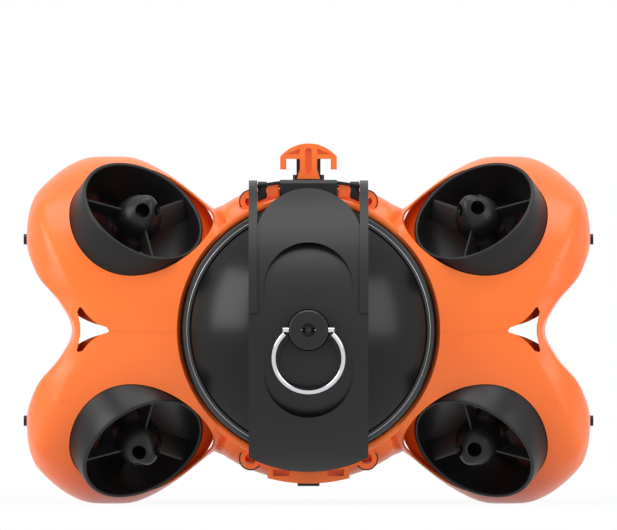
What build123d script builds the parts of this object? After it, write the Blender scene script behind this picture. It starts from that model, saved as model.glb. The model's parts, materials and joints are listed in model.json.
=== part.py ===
from build123d import *
from math import cos, hypot, radians, sin, sqrt
import os

# Compact underwater inspection vehicle, millimetres. +Z up, the battery end faces -Y, the camera end +Y.
# The origin is on the floor under the middle of the vehicle, and the hull's axis runs along Y above it.

# Shell
SHELL_HALF_WIDTH = 133.5
SHELL_HALF_HEIGHT = 82.4
END_REACH = 188.0
SHELL_END = END_REACH - 42
SHELL_END_DEPTH = 85.0
SHELL_END_HALF_HEIGHT = SHELL_HALF_HEIGHT + 1.6
SHELL_CORNER_R = 34.0
SHELL_WALL = 3.0
WAIST_HALF_WIDTH = SHELL_HALF_WIDTH - 21.5
WAIST_CUT_R = 92.0
WAIST_CUT_X = SHELL_HALF_WIDTH + 36.5
LOBE_WIDEST_Z = 43.0
LOBE_TOP_X = SHELL_HALF_WIDTH - 33.5
LOBE_FLAT = 12.0
VALLEY_X, VALLEY_Z = 46.5, 59.3
CUTOUT_TIP_X, CUTOUT_TIP_Z, CUTOUT_INNER_X = WAIST_HALF_WIDTH - 4.1, 9.2, WAIST_HALF_WIDTH - 16.3
CUTOUT_TIP_R = 1.5

# Pressure hull and its ends
HULL_R = 57.0
HULL_WALL = 4.0
HULL_REAR, HULL_FRONT = END_REACH - 50, END_REACH - 38
COLLAR_R = 59.9
COLLAR_LIP_R = 55.6
COLLAR_REAR, COLLAR_LENGTH = HULL_REAR + 5, 17.0
LIP_CLEARANCE = 0.4
LIP_WALL = 3.7
LIP_REAR = HULL_REAR - 2
SLEEVE_SEAT = 8.0
FIT = 0.3
SMALL_GAP = 0.05
CAP_APEX = END_REACH - 14
CAP_SPHERE_R = 71.8
CAP_PLUG_LENGTH = 28.0
SEAL_R = 1.8
SEAL_INSET, SEAL_PITCH, SEAL_GROOVE_PLAY = 6.0, 8.0, 0.4
COLLAR_BEVEL = 0.7
BATTERY_PLAY, BATTERY_LENGTH, BATTERY_BEVEL = 2.0, 95.0, 2.0
TRAY_Y, TRAY_LENGTH, TRAY_THICKNESS, TRAY_DROP = 20.0, 80.0, 3.0, 20.0
BOARD_COUNT, BOARD_PITCH, BOARD_WIDTH, BOARD_THICKNESS, BOARD_MARGIN = 3, 14.0, 56.0, 1.6, 4.0
POST_R, POST_INSET = 2.0, 3.0

# Latch band over the cap
BAND_HALF_WIDTH = 28.2
BAND_GAP = 1.2
BAND_THICKNESS = 5.0
BAND_HALF_HEIGHT = 67.0
BAND_CORNER_Z = 60.2
TONGUE_HALF_WIDTH = 24.2
TONGUE_SHOULDER_Z = 49.0
RAIL_RISE = 1.2
RAIL_END_Z = 8.0
RAIL_BEND_Z, RAIL_NECK = 57.0, 3.0
HINGE_Y, HINGE_Z = 12 - HULL_REAR, 68.4
HINGE_BAR_R = 1.2
HINGE_EYE_R = 2.4
RECESS_HALF_WIDTH = 21.0
RECESS_HALF_LENGTH = 41.3
RECESS_FLOOR_R = 62.0
RECESS_FLUSH_Z = 11.0
KNOB_R = 9.4
KNOB_GAP = 0.5
KNOB_FLOAT, KNOB_BEVEL = 1.0, 0.8
SOCKET_R, SOCKET_BOSS_R, SOCKET_DEPTH = 3.3, 1.4, 3.0
RING_R, RING_WIRE_R = 16.4, 1.2
RING_CENTRE_Z = -13.8
RING_PIVOT_Y = 3.8 - END_REACH
RING_TILT = 15.2
RING_SIDE_PLAY, RING_PIN_START, RING_PIN_PROUD = 0.6, 3.0, 0.9
DISH_R, DISH_DEPTH = 13.7, 2.3

# Brackets, latch block and tether hook
BRACKET_REAR, BRACKET_FRONT = HULL_REAR - 9, HULL_REAR - 22
BRACKET_OUTER_R = 68.0
SIDE_PLAY = 0.2
LUG_X, LUG_WIDTH, LUG_TOP = 14.3, 5.2, 69.2
LUG_REAR, LUG_FRONT = 4.0, 5.0
LINK_WIDTH, LINK_R = 4.2, 1.8
BLOCK_HALF_WIDTH, BLOCK_TOP = 13.7, 71.0
BLOCK_REAR, BLOCK_FRONT, BLOCK_BEVEL = 5.0, 8.0, 1.6
EAR_X, EAR_Z = 27.4, 60.9
EAR_REAR = HULL_REAR - 10.5
BRACKET_HALF_ANGLE = 21.0
EAR_R, EAR_HOLE_R, EAR_LENGTH = 4.9, 2.6, 6.0
BOTTOM_HALF_WIDTH, BOTTOM_Z, BOTTOM_CROWN = 19.4, 72.6, 2.6
POCKET_X, POCKET_Z, POCKET_WIDTH, POCKET_HEIGHT, POCKET_DEPTH = 12.9, 67.5, 7.7, 3.0, 4.0
PAD_HALF_WIDTH, PAD_THICKNESS, PAD_INSET, PAD_CORNER_R = 5.2, 1.2, 1.5, 2.0
HOOK_TOP, HOOK_HALF_WIDTH, HOOK_ARM_Z, HOOK_LEG_Z = 88.3, 13.4, 81.0, 76.0
HOOK_LEG, HOOK_STEM, HOOK_BASE_HALF_WIDTH = 2.9, 4.1, 5.5
HOOK_THICKNESS, HOOK_Y, HOOK_LIFT, HOOK_SHOULDER_Z = 5.0, 26 - HULL_REAR, 0.5, 82.0
HOOK_SLOT_Z, HOOK_SLOT_LENGTH, HOOK_SLOT_WIDTH, HOOK_POCKET_DEPTH = 79.8, 12.5, 3.2, 1.6
HOOK_POCKET_X, HOOK_POCKET_TIP_X, HOOK_POCKET_Z, HOOK_POCKET_TOP = 4.2, 10.6, 83.2, 85.8
STEM_FOOT_WIDTH, STEM_FOOT_DEPTH, STEM_FOOT_ROOT, STEM_FOOT_RISE = 14.8, 11.0, 6.0, 2.0
STEM_WIDTH, STEM_CORNER_R = 11.4, 1.5

# Thrusters
DUCT_X, DUCT_Y, DUCT_Z = SHELL_HALF_WIDTH - 55.1, SHELL_END - 18, SHELL_HALF_HEIGHT - 26.6
DUCT_R, DUCT_WALL, DUCT_LENGTH = 31.0, 1.8, 45.0
DUCT_TAPER = 1.4
DUCT_GAP = 1.3
DUCT_CLEAR_Z = 11.5
DUCT_LEAN_UP = 58.3
DUCT_LEAN_OUT = 51.3
GUARD_HUB_R, GUARD_TIP, GUARD_HOLE_R = 10.4, 10.0, 3.4
GUARD_RING_LENGTH, GUARD_RING_WALL, GUARD_RING_SINK = 7.0, 0.9, 1.0
GUARD_ARM, GUARD_ARM_DEPTH = 1.6, 6.0
GUARD_ANGLES = (63, 206, 304)
GUARD_HUB_WALL, GUARD_HUB_LENGTH, GUARD_HUB_SKIRT = 1.4, 5.0, 3.0
GUARD_ARM_SINK = 1.2
GUARD_HOLE_TURN, GUARD_HOLE_UP, GUARD_HOLE_Z = 60, 0.75, 1.5
MOTOR_R, MOTOR_LENGTH, MOTOR_SHAFT_R, MOTOR_AT = 9.0, 15.0, 1.5, 5.0
PROP_HUB_R, PROP_HUB_LENGTH = 7.5, 10.0
PROP_TIP_R, PROP_CHORD, PROP_BLADE = 27.0, 15.0, 1.3
PROP_BLADES, PROP_AT = 3, 22.0
PROP_ROOT_SINK, PROP_ROOT_CHORD, PROP_ROOT_PITCH, PROP_TIP_PITCH = 2.0, 9.0, 45, 22
PROP_BORE_END = 2.0

# Camera end
WINDOW_R, WINDOW_WALL, WINDOW_BASE = 48.0, 3.0, HULL_FRONT + 2
WINDOW_FOOT_WIDTH, WINDOW_FOOT_LENGTH = 5.0, 2.0
BEZEL_R, BEZEL_LENGTH, BEZEL_FACE, BEZEL_BEVEL = 59.9, 20.0, 6.0, 1.0
CAMERA_R, CAMERA_LENS_R = 26.0, 11.0
CAMERA_PLATE, CAMERA_STANDOFF, CAMERA_LENGTH, CAMERA_BEVEL = 4.0, 30.0, 24.0, 4.0
LENS_SINK, LENS_PROUD, LENS_ROUND = 8.0, 4.0, 3.0
LIGHT_X, LIGHT_R, LIGHT_LENS_R, LIGHT_FRONT = SHELL_HALF_WIDTH - 54, 10.5, 8.6, SHELL_END + 3
LIGHT_LENGTH, LIGHT_SINK, LIGHT_LENS_THICKNESS = 26.0, 3.0, 2.4
SCREW_R, SCREW_CIRCLE_R, SCREW_COUNT = 2.6, 54.3, 6
SCREW_SINK, SCREW_HEAD, SCREW_KEY_R, SCREW_KEY_DEPTH = 3.0, 2.4, 1.2, 1.4
STUD_R, STUD_Z, STUD_Y, STUD_RISE = 2.5, LOBE_WIDEST_Z, SHELL_END - 48, 1.5

AXIS_Z = SHELL_HALF_HEIGHT
SHELL_CENTRE = SHELL_END - SHELL_END_DEPTH
LIP_R = COLLAR_R + LIP_CLEARANCE
LIP_OUTER_R = LIP_R + LIP_WALL
CAP_R = COLLAR_LIP_R - FIT
CAP_CENTRE_Y = CAP_SPHERE_R - CAP_APEX
BORE_R = HULL_R - HULL_WALL
BAND_INNER_R = CAP_SPHERE_R + BAND_GAP
BAND_OUTER_R = BAND_INNER_R + BAND_THICKNESS
BAND_REACH = BAND_OUTER_R - CAP_CENTRE_Y

os.makedirs("parts", exist_ok=True)


def station(y, facing=-1):
    """Plane across the hull at y: local x is +X, local y is +Z, and its normal faces -Y."""
    return Plane(origin=(0, y, AXIS_Z), x_dir=(-facing, 0, 0), z_dir=(0, facing, 0))


def side(x):
    """Plane along the hull at x: local x is +Y, local y is +Z from the hull's axis."""
    return Plane(origin=(x, 0, AXIS_Z), x_dir=(0, 1, 0), z_dir=(1, 0, 0))


def save(builder, name):
    builder.part.label = name
    export_step(builder.part, f"parts/{name}.step")


def outline(inset=0.0):
    """Four lobes round the hull, as seen along the hull's axis, moved inwards by inset."""

    def point(x, z, outward_x, outward_z):
        return (x - inset * outward_x, z - inset * outward_z)

    valley = point(VALLEY_X, VALLEY_Z, -0.2, 0.98)
    bridge_r = hypot(*valley)
    with BuildSketch() as face:
        with BuildLine():
            flank = Spline(
                point(WAIST_HALF_WIDTH, 0, 1, 0),
                point(WAIST_HALF_WIDTH + 5.5, 12.5, 0.86, -0.5),
                point(SHELL_HALF_WIDTH - 5, 26.5, 0.88, -0.48),
                point(SHELL_HALF_WIDTH, LOBE_WIDEST_Z, 1, 0),
                point(SHELL_HALF_WIDTH - 5.6, SHELL_HALF_HEIGHT - 16.4, 0.87, 0.5),
                point(LOBE_TOP_X, SHELL_HALF_HEIGHT, 0, 1),
                tangents=[(0, 1), (-1, 0)],
            )
            flat = Line(flank @ 1, point(LOBE_TOP_X - LOBE_FLAT, SHELL_HALF_HEIGHT, 0, 1))
            slope = Spline(
                flat @ 1,
                point(LOBE_TOP_X - 31.2, SHELL_HALF_HEIGHT - 6.2, -0.45, 0.89),
                valley,
                tangents=[(-1, 0), (-0.78, -0.62)],
            )
            bridge = ThreePointArc(
                slope @ 1, (bridge_r * sin(radians(19)), bridge_r * cos(radians(19))), (0, bridge_r)
            )
            Polyline(bridge @ 1, (0, 0), flank @ 0)
        make_face()
        mirror(about=Plane.YZ)
        mirror(about=Plane.XZ)
    return face.sketch


def shell_form(inset):
    """Solid end of the vehicle: the outline, rounded in side view and in plan."""
    half_width = SHELL_HALF_WIDTH - inset
    with BuildPart() as body:
        with BuildSketch(station(0)):
            add(outline(inset))
        extrude(amount=SHELL_END)
        with BuildSketch(side(0)):
            with Locations((-SHELL_CENTRE, 0)):
                Ellipse(SHELL_END_DEPTH - inset, SHELL_END_HALF_HEIGHT - inset)
        extrude(amount=SHELL_HALF_WIDTH, both=True, mode=Mode.INTERSECT)
        with BuildSketch(Plane.XY):
            with Locations((0, -SHELL_END / 2)):
                RectangleRounded(2 * half_width, SHELL_END, SHELL_CORNER_R - inset)
            with Locations((0, -SHELL_END / 4)):
                Rectangle(2 * half_width, SHELL_END / 2)
        extrude(amount=2 * AXIS_Z, mode=Mode.INTERSECT)
    return body.part


def duct_plane(sx, sy, sz):
    """Plane of a duct's rim. Local z is the way the water leaves and local x lies across the lean."""
    up, out = radians(DUCT_LEAN_UP), radians(DUCT_LEAN_OUT)
    lean = (-sx * cos(up) * sin(out), sy * cos(out), sz * sin(up) * sin(out))
    across = (-sx * sin(up), 0, -sz * cos(up))
    return Plane(origin=(sx * DUCT_X, sy * DUCT_Y, AXIS_Z + sz * DUCT_Z), x_dir=across, z_dir=lean)


def thruster_sites():
    """Name and the three signs of each thruster, rear ones first."""
    for end, sy in (("rear", -1), ("front", 1)):
        for flank, sx in (("left", -1), ("right", 1)):
            for level, sz in (("upper", 1), ("lower", -1)):
                yield f"{end}_{flank}_{level}", sx, sy, sz


def triangle_cutout(sx):
    """Waist cut-out with three rounded tips and sides that bow into the hole."""
    tips = [(sx * CUTOUT_TIP_X, CUTOUT_TIP_Z), (sx * CUTOUT_TIP_X, -CUTOUT_TIP_Z), (sx * CUTOUT_INNER_X, 0)]
    middle = (sx * (CUTOUT_TIP_X - 4.5), 0)
    with BuildSketch() as hole:
        with BuildLine():
            for start, end in zip(tips, tips[1:] + tips[:1]):
                between = ((start[0] + end[0] + middle[0]) / 3, (start[1] + end[1] + middle[1]) / 3)
                ThreePointArc(start, between, end)
        make_face()
        offset(amount=CUTOUT_TIP_R)
    return hole.sketch


def round_cap(r, z):
    """Side-view point at height z on the circle of radius r round the cap's centre."""
    return (CAP_CENTRE_Y - sqrt(r**2 - z**2), z)


def cap_arc(r, z_start, z_end):
    """Side-view arc of radius r round the cap's centre, between two heights."""
    middle = round_cap(r, (z_start + z_end) / 2)
    return ThreePointArc(round_cap(r, z_start), middle, round_cap(r, z_end))


def arch_radius(half_width, rise):
    """Radius of an arc that rises by rise over a chord of twice half_width."""
    return (half_width**2 + rise**2) / (2 * rise)


END_SOLID = shell_form(0)

# Rear shell: a skin round four ducts, with a sleeve that grips the hull
with BuildPart() as rear_shell:
    add(END_SOLID)
    with BuildSketch(station(0)):
        Circle(LIP_OUTER_R)
    extrude(amount=LIP_REAR)
    with BuildPart(mode=Mode.PRIVATE) as hollow:
        add(shell_form(SHELL_WALL))
        with BuildSketch(station(0)):
            Circle(LIP_OUTER_R)
        extrude(amount=SHELL_END, mode=Mode.SUBTRACT)
    add(hollow.part, mode=Mode.SUBTRACT)
    with BuildSketch(Plane.XY):
        with Locations((WAIST_CUT_X, 0), (-WAIST_CUT_X, 0)):
            Circle(WAIST_CUT_R)
    extrude(amount=2 * AXIS_Z, mode=Mode.SUBTRACT)
    with BuildSketch(station(0)):
        Circle(LIP_R)
        for sx in (-1, 1):
            add(triangle_cutout(sx))
    extrude(amount=SHELL_END, mode=Mode.SUBTRACT)
    with BuildSketch(station(0)):
        Circle(LIP_R)
        Circle(HULL_R + SMALL_GAP, mode=Mode.SUBTRACT)
    extrude(amount=SLEEVE_SEAT)
    for sx in (-1, 1):
        for sz in (-1, 1):
            with BuildSketch(duct_plane(sx, -1, sz).offset(-DUCT_LENGTH / 2)):
                Circle(DUCT_R + DUCT_GAP)
            extrude(amount=2 * DUCT_LENGTH, mode=Mode.SUBTRACT)
    for x, outward in ((SHELL_HALF_WIDTH, 1), (-SHELL_HALF_WIDTH, -1)):
        with BuildSketch(Plane.YZ.offset(x - outward * (SHELL_WALL + 1))):
            with Locations((-STUD_Y, AXIS_Z + STUD_Z), (-STUD_Y, AXIS_Z - STUD_Z)):
                Circle(STUD_R + SMALL_GAP)
        extrude(amount=outward * (SHELL_WALL + 2), mode=Mode.SUBTRACT)
save(rear_shell, "rear_shell")

with BuildPart() as front_shell:
    add(rear_shell.part.mirror(Plane.XZ))
    with BuildSketch(station(SHELL_END / 2, 1)):
        with Locations((LIGHT_X, 0), (-LIGHT_X, 0)):
            Circle(LIGHT_R + SMALL_GAP)
    extrude(amount=SHELL_END, mode=Mode.SUBTRACT)
save(front_shell, "front_shell")

# Pressure hull: tube, battery and electronics
with BuildPart() as hull_tube:
    with BuildSketch(station(HULL_FRONT)):
        Circle(HULL_R)
        Circle(BORE_R, mode=Mode.SUBTRACT)
    extrude(amount=HULL_FRONT + HULL_REAR)
save(hull_tube, "hull_tube")

with BuildPart() as rear_collar:
    with BuildSketch(station(-COLLAR_REAR + COLLAR_LENGTH)):
        Circle(COLLAR_R)
        Circle(HULL_R, mode=Mode.SUBTRACT)
    extrude(amount=COLLAR_LENGTH)
    with BuildSketch(station(-HULL_REAR)):
        Circle(COLLAR_R)
        Circle(COLLAR_LIP_R, mode=Mode.SUBTRACT)
    extrude(amount=COLLAR_REAR - HULL_REAR)
    chamfer(rear_collar.edges().group_by(Axis.Y)[0], COLLAR_BEVEL)
save(rear_collar, "rear_collar")

# Battery cap: domed end with a plug in the hull, two seal grooves and a socket for the knob's stem
PLUG_R = BORE_R - FIT
PLUG_END_Y = -HULL_REAR + CAP_PLUG_LENGTH
SEAL_YS = (PLUG_END_Y - SEAL_INSET, PLUG_END_Y - SEAL_INSET - SEAL_PITCH)
with BuildPart() as battery_cap:
    with BuildSketch(side(0)):
        with BuildLine():
            dome = cap_arc(CAP_SPHERE_R, 0, CAP_R)
            Polyline(
                dome @ 1, (-HULL_REAR, CAP_R), (-HULL_REAR, PLUG_R), (PLUG_END_Y, PLUG_R), (PLUG_END_Y, 0),
                dome @ 0,
            )
        make_face()
        with Locations(*[(y, PLUG_R) for y in SEAL_YS]):
            Rectangle(2 * SEAL_R + SEAL_GROOVE_PLAY, 2 * (2 * SEAL_R - FIT), mode=Mode.SUBTRACT)
    revolve(axis=Axis((0, 0, AXIS_Z), (0, 1, 0)))
save(battery_cap, "battery_cap")

with BuildPart() as cap_seals:
    for y in SEAL_YS:
        with BuildSketch(side(0)):
            with Locations((y, BORE_R - SEAL_R - SMALL_GAP)):
                Circle(SEAL_R - SMALL_GAP)
        revolve(axis=Axis((0, 0, AXIS_Z), (0, 1, 0)))
save(cap_seals, "cap_seals")

with BuildPart() as battery_pack:
    with BuildSketch(station(PLUG_END_Y + BATTERY_LENGTH)):
        Circle(PLUG_R - BATTERY_PLAY)
    extrude(amount=BATTERY_LENGTH)
    chamfer(battery_pack.edges().group_by(Axis.Y)[-1], BATTERY_BEVEL)
save(battery_pack, "battery_pack")

TRAY_Z = AXIS_Z - TRAY_DROP
TRAY_HALF_WIDTH = sqrt((BORE_R - FIT) ** 2 - (TRAY_DROP + TRAY_THICKNESS) ** 2)
with BuildPart() as electronics_tray:
    with BuildSketch(Plane.XY.offset(TRAY_Z - TRAY_THICKNESS)):
        with Locations((0, TRAY_Y + TRAY_LENGTH / 2)):
            Rectangle(2 * TRAY_HALF_WIDTH, TRAY_LENGTH)
    extrude(amount=TRAY_THICKNESS)
save(electronics_tray, "electronics_tray")

with BuildPart() as circuit_boards:
    for level in range(BOARD_COUNT):
        with BuildSketch(Plane.XY.offset(TRAY_Z + BOARD_PITCH * level)):
            with Locations((0, TRAY_Y + TRAY_LENGTH / 2)):
                Rectangle(BOARD_WIDTH, TRAY_LENGTH - 2 * BOARD_MARGIN)
        extrude(amount=BOARD_THICKNESS)
    with BuildSketch(Plane.XY.offset(TRAY_Z)):
        with Locations((0, TRAY_Y + TRAY_LENGTH / 2)):
            with GridLocations(
                BOARD_WIDTH - 2 * POST_INSET, TRAY_LENGTH - 2 * (BOARD_MARGIN + POST_INSET), 2, 2
            ):
                Circle(POST_R)
    extrude(amount=BOARD_PITCH * (BOARD_COUNT - 1) + BOARD_THICKNESS)
save(circuit_boards, "circuit_boards")

# Latch band: a strap bent over the cap, with a rail at each side that ends in the hinge eye
RAIL_WIDTH = BAND_HALF_WIDTH - TONGUE_HALF_WIDTH
RAIL_OUTER_R = BAND_OUTER_R + RAIL_RISE
RAIL_FRONT_Z = RAIL_BEND_Z - RAIL_NECK
TONGUE_R = arch_radius(TONGUE_HALF_WIDTH, BAND_HALF_HEIGHT - TONGUE_SHOULDER_Z)
BAND_FOOT_R = arch_radius(BAND_HALF_WIDTH, BAND_HALF_HEIGHT - BAND_CORNER_Z)
RECESS_FLOOR_Y = round_cap(BAND_OUTER_R, RECESS_FLUSH_Z)[0] + sqrt(RECESS_FLOOR_R**2 - RECESS_FLUSH_Z**2)
with BuildPart() as latch_band:
    with BuildSketch(side(0)):
        with BuildLine():
            inner = cap_arc(BAND_INNER_R, -BAND_HALF_HEIGHT, BAND_HALF_HEIGHT)
            outer = cap_arc(BAND_OUTER_R, BAND_HALF_HEIGHT, -BAND_HALF_HEIGHT)
            Line(inner @ 1, outer @ 0)
            Line(outer @ 1, inner @ 0)
        make_face()
    extrude(amount=TONGUE_HALF_WIDTH, both=True)
    with BuildSketch(station(-HULL_REAR / 2)):
        with Locations((0, BAND_HALF_HEIGHT - TONGUE_R)):
            Circle(TONGUE_R)
            with Locations((0, -BAND_HALF_HEIGHT)):
                Rectangle(3 * BAND_HALF_WIDTH, 2 * BAND_HALF_HEIGHT)
    extrude(amount=END_REACH, mode=Mode.INTERSECT)
    for x in (-BAND_HALF_WIDTH, TONGUE_HALF_WIDTH):
        with BuildSketch(side(x)):
            with BuildLine():
                low = cap_arc(BAND_OUTER_R, -BAND_HALF_HEIGHT, RAIL_END_Z)
                back = cap_arc(RAIL_OUTER_R, RAIL_END_Z, RAIL_BEND_Z)
                Line(low @ 1, back @ 0)
                eye = ThreePointArc(
                    (HINGE_Y, HINGE_Z + HINGE_EYE_R), (HINGE_Y + HINGE_EYE_R, HINGE_Z),
                    (HINGE_Y, HINGE_Z - HINGE_EYE_R),
                )
                Spline(back @ 1, eye @ 0, tangents=[back % 1, (1, 0)])
                front = cap_arc(BAND_INNER_R, RAIL_FRONT_Z, -BAND_HALF_HEIGHT)
                Spline(eye @ 1, front @ 0, tangents=[(-1, 0), front % 0])
                Line(front @ 1, low @ 0)
            make_face()
        extrude(amount=RAIL_WIDTH)
    with BuildSketch(station(-HULL_REAR / 2)):
        with Locations((0, BAND_FOOT_R - BAND_HALF_HEIGHT)):
            Circle(BAND_FOOT_R)
            with Locations((0, BAND_HALF_HEIGHT)):
                Rectangle(3 * BAND_HALF_WIDTH, 2 * BAND_HALF_HEIGHT)
    extrude(amount=END_REACH, mode=Mode.INTERSECT)
    with BuildPart(mode=Mode.PRIVATE) as recess:
        with BuildSketch(station(-HULL_REAR)):
            SlotOverall(2 * RECESS_HALF_LENGTH, 2 * RECESS_HALF_WIDTH, rotation=90)
        extrude(amount=END_REACH - HULL_REAR)
        with BuildSketch(side(0)):
            with Locations((RECESS_FLOOR_Y, 0)):
                Circle(RECESS_FLOOR_R)
        extrude(amount=RECESS_HALF_WIDTH + 1, both=True, mode=Mode.SUBTRACT)
    add(recess.part, mode=Mode.SUBTRACT)
    with BuildSketch(station(-BAND_REACH + DISH_DEPTH)):
        with Locations((0, RING_CENTRE_Z)):
            Circle(DISH_R)
    extrude(amount=2 * DISH_DEPTH, mode=Mode.SUBTRACT)
    with BuildSketch(station(-HULL_REAR)):
        Circle(KNOB_R + KNOB_GAP)
    extrude(amount=END_REACH - HULL_REAR, mode=Mode.SUBTRACT)
    with BuildSketch(side(0)):
        with Locations((HINGE_Y, HINGE_Z)):
            Circle(HINGE_BAR_R + SMALL_GAP)
    extrude(amount=BAND_HALF_WIDTH + 1, both=True, mode=Mode.SUBTRACT)
save(latch_band, "latch_band")

with BuildPart() as hinge_bar:
    with BuildSketch(side(0)):
        with Locations((HINGE_Y, HINGE_Z)):
            Circle(HINGE_BAR_R)
    extrude(amount=BAND_HALF_WIDTH, both=True)
save(hinge_bar, "hinge_bar")

BLOCK_BOTTOM = LIP_OUTER_R + FIT
with BuildPart() as latch_block:
    with BuildSketch(side(0)):
        with BuildLine():
            Polyline(
                (HINGE_Y - BLOCK_REAR, BLOCK_BOTTOM), (HINGE_Y - BLOCK_REAR, BLOCK_TOP - BLOCK_BEVEL),
                (HINGE_Y - BLOCK_REAR + BLOCK_BEVEL, BLOCK_TOP), (HINGE_Y + BLOCK_FRONT, BLOCK_TOP),
                (HINGE_Y + BLOCK_FRONT, BLOCK_BOTTOM), (HINGE_Y - BLOCK_REAR, BLOCK_BOTTOM),
            )
        make_face()
        with Locations((HINGE_Y, HINGE_Z)):
            Circle(HINGE_BAR_R + SMALL_GAP, mode=Mode.SUBTRACT)
    extrude(amount=BLOCK_HALF_WIDTH - SIDE_PLAY, both=True)
save(latch_block, "latch_block")

LINK_X = LUG_X + LUG_WIDTH + SIDE_PLAY
with BuildPart() as hinge_links:
    for x in (LINK_X, -LINK_X - LINK_WIDTH):
        with BuildSketch(side(x)):
            with Locations((HINGE_Y, HINGE_Z)):
                Circle(LINK_R)
                Circle(HINGE_BAR_R + SMALL_GAP, mode=Mode.SUBTRACT)
        extrude(amount=LINK_WIDTH)
save(hinge_links, "hinge_links")


def bracket_arc(z_sign, half_angle):
    """Curved foot of a bracket, seated on the shell's sleeve."""
    with BuildPart() as arc:
        with BuildSketch(station(-BRACKET_FRONT)):
            Circle(BRACKET_OUTER_R)
            Circle(LIP_OUTER_R + SMALL_GAP, mode=Mode.SUBTRACT)
            reach = 2 * BRACKET_OUTER_R
            with BuildLine():
                Polyline(
                    (0, 0), (reach * sin(radians(half_angle)), z_sign * reach * cos(radians(half_angle))),
                    (-reach * sin(radians(half_angle)), z_sign * reach * cos(radians(half_angle))), (0, 0),
                )
            make_face(mode=Mode.INTERSECT)
        extrude(amount=BRACKET_REAR - BRACKET_FRONT)
    return arc.part


def ear_part(x, z, r, reach):
    """Solid for the two ears at (+-x, z), or for their holes, clear of the shell's sleeve."""
    with BuildPart() as ears:
        for sx in (-1, 1):
            with BuildSketch(station(-EAR_REAR + reach)):
                with Locations((sx * x, z)):
                    Circle(r)
                Circle(LIP_OUTER_R + SMALL_GAP, mode=Mode.SUBTRACT)
            extrude(amount=reach)
    return ears.part


LUG_ROOT_Z = LIP_OUTER_R - 1
with BuildPart() as top_bracket:
    add(bracket_arc(1, BRACKET_HALF_ANGLE))
    for x in (-LUG_X - LUG_WIDTH, LUG_X):
        with BuildSketch(side(x)):
            with Locations((HINGE_Y + (LUG_FRONT - LUG_REAR) / 2, (LUG_TOP + LUG_ROOT_Z) / 2)):
                Rectangle(LUG_FRONT + LUG_REAR, LUG_TOP - LUG_ROOT_Z)
        extrude(amount=LUG_WIDTH)
    with BuildSketch(station(HINGE_Y + BLOCK_FRONT + FIT)):
        with Locations((0, BRACKET_OUTER_R)):
            Rectangle(2 * BLOCK_HALF_WIDTH, 2 * (BRACKET_OUTER_R - LIP_R))
    extrude(amount=END_REACH, mode=Mode.SUBTRACT)
    add(ear_part(EAR_X, EAR_Z, EAR_R, EAR_LENGTH))
    add(END_SOLID, mode=Mode.SUBTRACT)
    add(ear_part(EAR_X, EAR_Z, EAR_HOLE_R, BRACKET_REAR), mode=Mode.SUBTRACT)
    with BuildSketch(side(0)):
        with Locations((HINGE_Y, HINGE_Z)):
            Circle(HINGE_BAR_R + SMALL_GAP)
    extrude(amount=BAND_HALF_WIDTH + 1, both=True, mode=Mode.SUBTRACT)
    for x in (-BAND_HALF_WIDTH - FIT, LUG_X + LUG_WIDTH):
        with BuildSketch(side(x)):
            with Locations((HINGE_Y, HINGE_Z)):
                Circle(HINGE_EYE_R + 2 * FIT)
        extrude(amount=BAND_HALF_WIDTH + FIT - LUG_X - LUG_WIDTH, mode=Mode.SUBTRACT)
save(top_bracket, "top_bracket")

with BuildPart() as bottom_bracket:
    add(bracket_arc(-1, BRACKET_HALF_ANGLE))
    with BuildSketch(station(-BRACKET_FRONT)):
        with BuildLine():
            crown_z = -BOTTOM_Z + BOTTOM_CROWN
            sole = ThreePointArc((-BOTTOM_HALF_WIDTH, crown_z), (0, -BOTTOM_Z), (BOTTOM_HALF_WIDTH, crown_z))
            Polyline(sole @ 1, (BOTTOM_HALF_WIDTH, -LIP_R), (-BOTTOM_HALF_WIDTH, -LIP_R), sole @ 0)
        make_face()
        Circle(LIP_OUTER_R + SMALL_GAP, mode=Mode.SUBTRACT)
    extrude(amount=BRACKET_REAR - BRACKET_FRONT)
    with BuildSketch(station(-BRACKET_REAR + POCKET_DEPTH)):
        with Locations((POCKET_X, -POCKET_Z), (-POCKET_X, -POCKET_Z)):
            Rectangle(POCKET_WIDTH, POCKET_HEIGHT)
    extrude(amount=2 * POCKET_DEPTH, mode=Mode.SUBTRACT)
    add(ear_part(EAR_X, -EAR_Z, EAR_R, EAR_LENGTH))
    add(END_SOLID, mode=Mode.SUBTRACT)
    add(ear_part(EAR_X, -EAR_Z, EAR_HOLE_R, BRACKET_REAR), mode=Mode.SUBTRACT)
save(bottom_bracket, "bottom_bracket")

with BuildPart() as bottom_pad:
    with BuildSketch(Plane.XY.offset(AXIS_Z - BOTTOM_Z - PAD_THICKNESS)):
        with Locations((0, -(BRACKET_REAR + BRACKET_FRONT) / 2)):
            RectangleRounded(2 * PAD_HALF_WIDTH, BRACKET_REAR - BRACKET_FRONT - 2 * PAD_INSET, PAD_CORNER_R)
    extrude(amount=2 * PAD_THICKNESS)
    add(bottom_bracket.part, mode=Mode.SUBTRACT)
save(bottom_pad, "bottom_pad")

# Pull knob and its wire ring
with BuildPart() as pull_knob:
    with BuildSketch(station(-CAP_APEX - KNOB_FLOAT)):
        Circle(KNOB_R)
    extrude(amount=END_REACH - CAP_APEX - KNOB_FLOAT)
    chamfer(pull_knob.edges().group_by(Axis.Y)[0], KNOB_BEVEL)
    with BuildSketch(station(-END_REACH + SOCKET_DEPTH)):
        Circle(SOCKET_R)
        Circle(SOCKET_BOSS_R, mode=Mode.SUBTRACT)
    extrude(amount=2 * SOCKET_DEPTH, mode=Mode.SUBTRACT)
    with BuildSketch(side(0)):
        with Locations((RING_PIVOT_Y, 0)):
            Circle(RING_WIRE_R + SMALL_GAP)
    extrude(amount=KNOB_R + 1, both=True, mode=Mode.SUBTRACT)
save(pull_knob, "pull_knob")

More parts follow.
